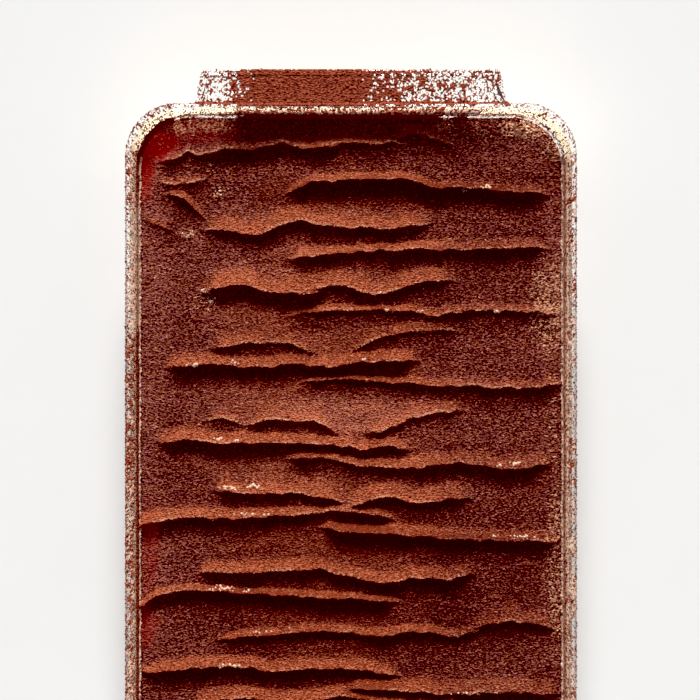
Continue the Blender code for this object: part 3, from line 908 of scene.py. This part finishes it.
# Stretches of the rim: x from, to, y from, to, how far over it from, to, share covered.
COCOA_COVER = (
    (-57, 47, 150, 167, 0, 3.0, ALL), (-57, 50, 150, 167, 2.6, 4.2, 0.74), (-57, 50, 150, 167, 4.0, 7.5, 0.86), (-57, 47, 150, 167, 7.0, 17, ALL),
    (47, 62, 150, 167, 0, 3.4, 0.50), (62, 90, 150, 167, 0, 7.0, 0.34), (44, 62, 150, 167, 3.7, 17, 0.70),
    (62, 90, 150, 167, 7.0, 17, 0.50), (-70, -54, 150, 167, 5.5, 17, 0.72),
    (-90, -57, 150, 167, 0, 3.4, 0.36), (-90, -57, 150, 167, 3.4, 7.0, 0.25), (-90, -57, 150, 167, 7.0, 17, 0.50),
    (-115, -90, 140, 167, 0, 4.0, 0.55), (-115, -90, 140, 167, 4.0, 6.8, 0.48), (90, 115, 138, 167, 0, 17, 0.42),
    (-115, -90, 116, 160, 6.8, 17, ALL), (-115, -100, 112, 146, 0.3, 7.0, 0.55),
    (-115, -100, 52, 112, 0.3, 3.4, 0.46), (-115, -100, 52, 112, 3.4, 7.0, 0.30),
    (-115, -100, -42, 52, 0.3, 6.6, 0.74), (-115, -100, -92, -42, 0.3, 6.4, 0.62),
    (-115, -100, -166, -92, 0.3, 6.4, 0.55), (-115, -100, 52, 126, 7.2, 17, 0.45),
    (-115, -100, -166, 52, 7.2, 17, ALL),
    (100, 115, 114, 140, 0.3, 5.5, 0.58), (100, 115, 60, 114, 0.3, 5.5, 0.50), (100, 115, 0, 60, 0.3, 5.5, 0.45),
    (100, 115, -32, 0, 0.3, 5.5, 0.60), (100, 115, -90, -32, 0.3, 5.5, 0.42),
    (100, 115, -166, -90, 0.3, 5.5, 0.48), (100, 115, -166, 140, 5.5, 17, 0.55),
    (-90, 90, -167, -150, 0, 5.0, 0.30), (-115, 115, -167, -150, 9.0, 17, 0.50),
)
CREAM_COVER = (
    (-57, -20, 150, 167, 4.2, 7.0, 0.80), (-20, 24, 150, 167, 3.9, 7.0, 0.90), (24, 62, 150, 167, 3.8, 8.0, 0.95),
    (62, 92, 150, 167, 4.0, 17, 0.45), (-92, -57, 150, 167, 5.0, 17, 0.50), (-115, -90, 146, 167, 4.0, 6.6, 0.50),
    (90, 115, 138, 167, 4.0, 17, 0.34), (-115, -100, 52, 146, 3.0, 6.8, 0.85), (-115, -100, 52, 146, 0.8, 3.0, 0.60), (-115, -100, -166, 52, 0.8, 6.8, 0.70),
    (-115, -100, 52, 122, 6.8, 17, ALL), (100, 115, -166, 140, 0.8, 5.0, 0.62), (100, 115, -166, 140, 5.0, 17, ALL),
)
LINE_FROM, LINE_TO, LINE_OVER = -150.0, 140.0, 12.6


def rim_cover(table, x, y, over):
    cover = np.zeros_like(x)
    on_end = np.abs(y) > 150
    ragged = 4 * lumps(np.where(on_end, x, y), 2 * over, 5, 46)
    x, y = x + ragged * on_end, y + ragged * ~on_end
    for x_from, x_to, y_from, y_to, over_from, over_to, share in table:
        inside = smooth_step((x - x_from) / 4 + 0.5) * smooth_step((x_to - x) / 4 + 0.5)
        inside *= smooth_step((y - y_from) / 4 + 0.5) * smooth_step((y_to - y) / 4 + 0.5)
        inside *= smooth_step((over - over_from) / 0.5 + 0.5) * smooth_step((over_to - over) / 0.8 + 0.5)
        cover = np.maximum(cover, inside * share)
    under_handle = (np.abs(x) < TAB_HALF) & (over < over_at[5])
    return np.where(under_handle, 0.0, cover + 0.3 * cover * (cover < 0.95) * lumps(x, y, 4, 33))


def cocoa_on_rim(x, y, over):
    return rim_cover(COCOA_COVER, x, y, over)


def cream_on_rim(x, y, over):
    return rim_cover(CREAM_COVER, x, y, over)


def cream_line(x, y, over):
    """The thin line that the cream left where it meets the side walls."""
    off_line = over - LINE_OVER - 0.8 * lumps(y, 0 * y, 6, 44) - 0.4 * lumps(y, 0 * y, 2, 45)
    near = np.exp(-(off_line / 0.9) ** 2) * (np.abs(x) > 100) * (y > LINE_FROM) * (y < LINE_TO)
    return np.where(x < 0, ALL, 0.95) * near


# %% Make a crust
def crust(name, columns, rows, spread, thick, finish, slot, seed):
    """spread gives, for u and v from 0 to 1: points, ways out, share covered, heap, and flat places."""
    bm = bmesh.new()
    order, shade = bm.verts.layers.int.new("order"), bm.verts.layers.float.new("shade")
    bmesh.ops.create_grid(bm, x_segments=columns, y_segments=rows, size=1.0)
    for index, vert in enumerate(bm.verts):
        vert[order] = index
    u, v = (np.array([vert.co[:2] for vert in bm.verts]).T + 1) / 2
    points, out, cover, heap, across, along = spread(u, v)
    speckle = 0.5 + 0.40 * lumps(across, along, 0.85, seed) + 0.40 * lumps(across, along, 0.5, seed + 1)
    relief = thick * (0.15 + clumps(across, along, 1.25, seed + 2))
    # Higher points of a crust are lighter and lower ones darker, a painted shade in its hollows, with some random
    # tone.
    shades = 0.15 + 0.6 * relief / thick + 0.2 * lumps(across, along, 0.8, seed + 3)
    missing = [vert for vert, stays in zip(bm.verts, cover > speckle) if not stays]
    bmesh.ops.delete(bm, geom=missing, context="VERTS")
    bmesh.ops.delete(bm, geom=[vert for vert in bm.verts if not vert.link_faces], context="VERTS")
    edge = {vert[order] for vert in bm.verts if vert.is_boundary}
    grown = bmesh.ops.extrude_face_region(bm, geom=list(bm.faces))["geom"]
    upper = {part for part in grown if isinstance(part, bmesh.types.BMVert)}
    for vert in bm.verts:
        index = vert[order]
        height = heap[index] + (0.3 * thick if index in edge else relief[index]) if vert in upper else -0.05
        vert.co = Vector(points[index] + out[index] * height) * MM
        vert[shade] = shades[index]
    bmesh.ops.recalc_face_normals(bm, faces=bm.faces)
    return finished(bm, name, [finish], 60)


CRUST_CELL = 0.40
HANDLE_LOW, HANDLE_HIGH = np.array([-80.0, HALF_LENGTH - 1.8]), np.array([80.0, TAB_END - 0.2])


def over_handle(u, v):
    x, y = HANDLE_LOW[:, None] + np.stack([u, v]) * (HANDLE_HIGH - HANDLE_LOW)[:, None]
    points = np.stack([x, y, 0 * x], 1)
    for point in points:
        hit = dish_tree.ray_cast(Vector((*(point[:2] * MM), 0.1)), Vector((0, 0, -1)))[0]
        point[2] = hit.z / MM if hit else 0
    on_glass = points[:, 2] > TAB_TOP_Z - TAB_EDGE
    return points, np.tile([0.0, 0.0, 1.0], (len(x), 1)), handle_cover(x, y) * on_glass, 0 * x, x, y


def over_rim(cover, bed=0.0):
    def spread(u, v):
        walked, over = (u + 0.5) % 1 * walk_length, v * over_length
        points, out = over_the_rim(walked, over)
        heap = bed + 0.9 * np.exp(-((over - 5.6) / 1.1) ** 2) * (np.abs(points[:, 0]) < 66) * (points[:, 1] > 150)
        return points, out, cover(points[:, 0], points[:, 1], over), heap, walked, over
    return spread


handle_cells = ((HANDLE_HIGH - HANDLE_LOW) / CRUST_CELL).astype(int)
rim_cells = int(walk_length / CRUST_CELL), int(over_length / CRUST_CELL)
COCOA_SLOT = "cocoa_dusted_cream"
crusts = [
    crust("cocoa_on_handle", *handle_cells, over_handle, 0.5, LOOSE_COCOA, COCOA_SLOT, 81),
    crust("cocoa_on_rim", *rim_cells, over_rim(cocoa_on_rim), 0.5, LOOSE_COCOA, COCOA_SLOT, 85),
    crust("cream_on_rim", *rim_cells, over_rim(cream_on_rim), 0.3, CREAM, "cream", 89),
    crust("cream_line", *rim_cells, over_rim(cream_line, 0.45), 0.9, CREAM, "cream", 93),
]


# %% Stray specks round the crusts
STRAY = 1.4  # specks per square mm where all is covered


def stray_specks():
    rng = np.random.default_rng(41)
    area = np.prod(HANDLE_HIGH - HANDLE_LOW)
    x, y = rng.uniform(HANDLE_LOW[:, None], HANDLE_HIGH[:, None], (2, int(STRAY * area)))
    on_handle = landed(*thinned(rng, x, y, np.minimum(handle_cover(x, y), 0.6), 1.0))
    count = int(STRAY * walk_length * over_length)
    walked, over = rng.uniform(0, walk_length, count), rng.uniform(0, over_length / 2, count)
    points, out = over_the_rim(walked, over)
    chosen = rng.uniform(0, 1, count) < np.minimum(cocoa_on_rim(points[:, 0], points[:, 1], over), 0.6)
    places = np.concatenate([on_handle, points[chosen] + 0.1 * out[chosen]])
    sizes = np.clip(rng.lognormal(math.log(0.70), 0.30, len(places)), 0.35, 1.4)
    return scattered("cocoa_specks", SPECKS, places, sizes, LOOSE_COCOA, 42, 0.8)


specks = stray_specks()

# %% Loose lumps of cocoa on the food
def on_the_food(x, y, sunk):
    return np.stack([x, y, LEVEL_Z + cocoa_top(x, y)[0] - sunk], 1)


def lumps_on_food():
    rng = np.random.default_rng(61)
    u, v = rng.uniform(-0.985, 0.985, (2, 16000))
    x, y = laid_out(u, v, BRIM_INSET)
    brink = spooned(x, y)[1]
    x, y = thinned(rng, x, y, 0.30 + 0.7 * brink, 1.0)
    sizes = np.clip(rng.lognormal(math.log(0.75), 0.35, len(x)), 0.4, 1.8)
    return scattered("cocoa_grains", GRAINS, on_the_food(x, y, 0.1 * sizes), sizes, LOOSE_COCOA, 62)


cocoa_grains = lumps_on_food()

# %% Flecks of bare cream along the crests: x, y, how far they spread each way, how many
CREAM_SPOTS = (
    (-67, -4, 3, 0.6, 12), (-58, -4.6, 2, 0.5, 6), (-81, 34, 4, 0.6, 10), (-59, 35, 2, 0.6, 6),
    (6, 36.5, 2, 0.5, 6), (58, 123, 2, 0.8, 5), (69, 124.2, 2.5, 0.8, 9), (85, -16.2, 4, 0.8, 16),
    (75, -17.5, 2, 0.6, 5), (-62, -28.5, 5, 0.9, 22), (-49, -28, 4, 0.8, 16), (-53, -42, 8, 0.5, 12),
    (-64, -80, 7, 0.9, 24), (-53, -81, 2, 0.6, 5), (73, -53, 2, 0.6, 4), (87, -53.5, 7, 0.6, 14),
    (-47, -102, 4, 0.5, 8), (-71, 66, 2, 2.0, 12), (-74, 71, 2.5, 1.5, 10), (18, 61.6, 2, 0.5, 4),
    (35, 61, 2, 0.5, 4), (75, 60.8, 2, 0.5, 4), (14, 70.6, 2, 0.6, 5), (-83, 100, 3, 1.5, 8),
    (-67, 122, 2.5, 1.5, 8), (-60, -119, 8, 0.8, 14), (60, -133, 8, 0.7, 10),
)


def cream_flecks():
    rng = np.random.default_rng(71)
    x, y = (np.concatenate([rng.normal(spot[axis], spot[2 + axis] * 0.6, spot[4]) for spot in CREAM_SPOTS])
            for axis in (0, 1))
    sizes = np.clip(rng.lognormal(math.log(1.0), 0.35, len(x)), 0.5, 1.9)
    return scattered("cream_flecks", FLECKS, on_the_food(x, y, 0.15 * sizes), sizes, CREAM, 72)


flecks = cream_flecks()

# %% [markdown]
# ## Floor, light and camera
#
# The dish stands on a pale table. One soft lamp, low over the far end, rakes along the dish: every slope
# that climbs towards it is bright, and every crest throws a shadow on this side. The sky fills the
# shadows only a little. The camera hangs straight above the far half of the dish.

# %% Floor
def table_top():
    paint = Paint("pale_table", roughness=0.85, sheen_of_light=0.2)
    slow = paint.noise(60, detail=1)
    paint.wear(Base_Color=paint.blend((0.885, 0.893, 0.898), (0.905, 0.912, 0.916), slow),
               Normal=paint.bump(paint.noise(3), 0.02, 0.3))
    bm = bmesh.new()
    bmesh.ops.create_grid(bm, x_segments=1, y_segments=1, size=6.0)
    mesh = bpy.data.meshes.new("floor")
    bm.to_mesh(mesh)
    bm.free()
    mesh.materials.append(paint.finish)
    floor = bpy.data.objects.new("floor", mesh)
    bpy.context.scene.collection.objects.link(floor)
    return floor


floor = table_top()

# %% Light
LAMP_ELEVATION = math.radians(28)
lamp = bpy.data.lights.new("lamp", "SUN")
lamp.energy = 5.2
lamp.angle = math.radians(20)
lamp.color = (1.0, 0.988, 0.97)
lamp_holder = bpy.data.objects.new("lamp", lamp)
lamp_holder.rotation_euler = (-(math.pi / 2 - LAMP_ELEVATION), 0, 0)
bpy.context.scene.collection.objects.link(lamp_holder)

world = bpy.data.worlds.new("studio")
world.use_nodes = True
bpy.context.scene.world = world
sky = world.node_tree.nodes["Background"]
sky.inputs["Color"].default_value = (0.95, 0.95, 0.97, 1.0)
sky.inputs["Strength"].default_value = 0.24
pale = world.node_tree.nodes.new("ShaderNodeBackground")
pale.inputs["Color"].default_value = (0.93, 0.93, 0.93, 1.0)
path = world.node_tree.nodes.new("ShaderNodeLightPath")
choice = world.node_tree.nodes.new("ShaderNodeMixShader")
links = world.node_tree.links
links.new(path.outputs["Is Diffuse Ray"], choice.inputs[0])
links.new(pale.outputs[0], choice.inputs[1])
links.new(sky.outputs[0], choice.inputs[2])
links.new(choice.outputs[0], world.node_tree.nodes["World Output"].inputs["Surface"])

# %% Camera
SEEN_WIDTH = 353.1
HEIGHT_OVER_RIM = 1000.0
camera = bpy.data.cameras.new("camera")
camera.sensor_width = 36.0
camera.lens = 36.0 * HEIGHT_OVER_RIM / SEEN_WIDTH
camera.clip_end = 20.0
camera_holder = bpy.data.objects.new("camera", camera)
camera_holder.location = Vector((-0.5, 41.4, RIM_Z + HEIGHT_OVER_RIM)) * MM
bpy.context.scene.collection.objects.link(camera_holder)
bpy.context.scene.camera = camera_holder

# %% Tones: a print's deep, warm shadows
view = bpy.context.scene.view_settings
view.view_transform = "Standard"
view.use_curve_mapping = True
view.curve_mapping.black_level = (-0.006, 0.018, 0.012)
view.curve_mapping.update()
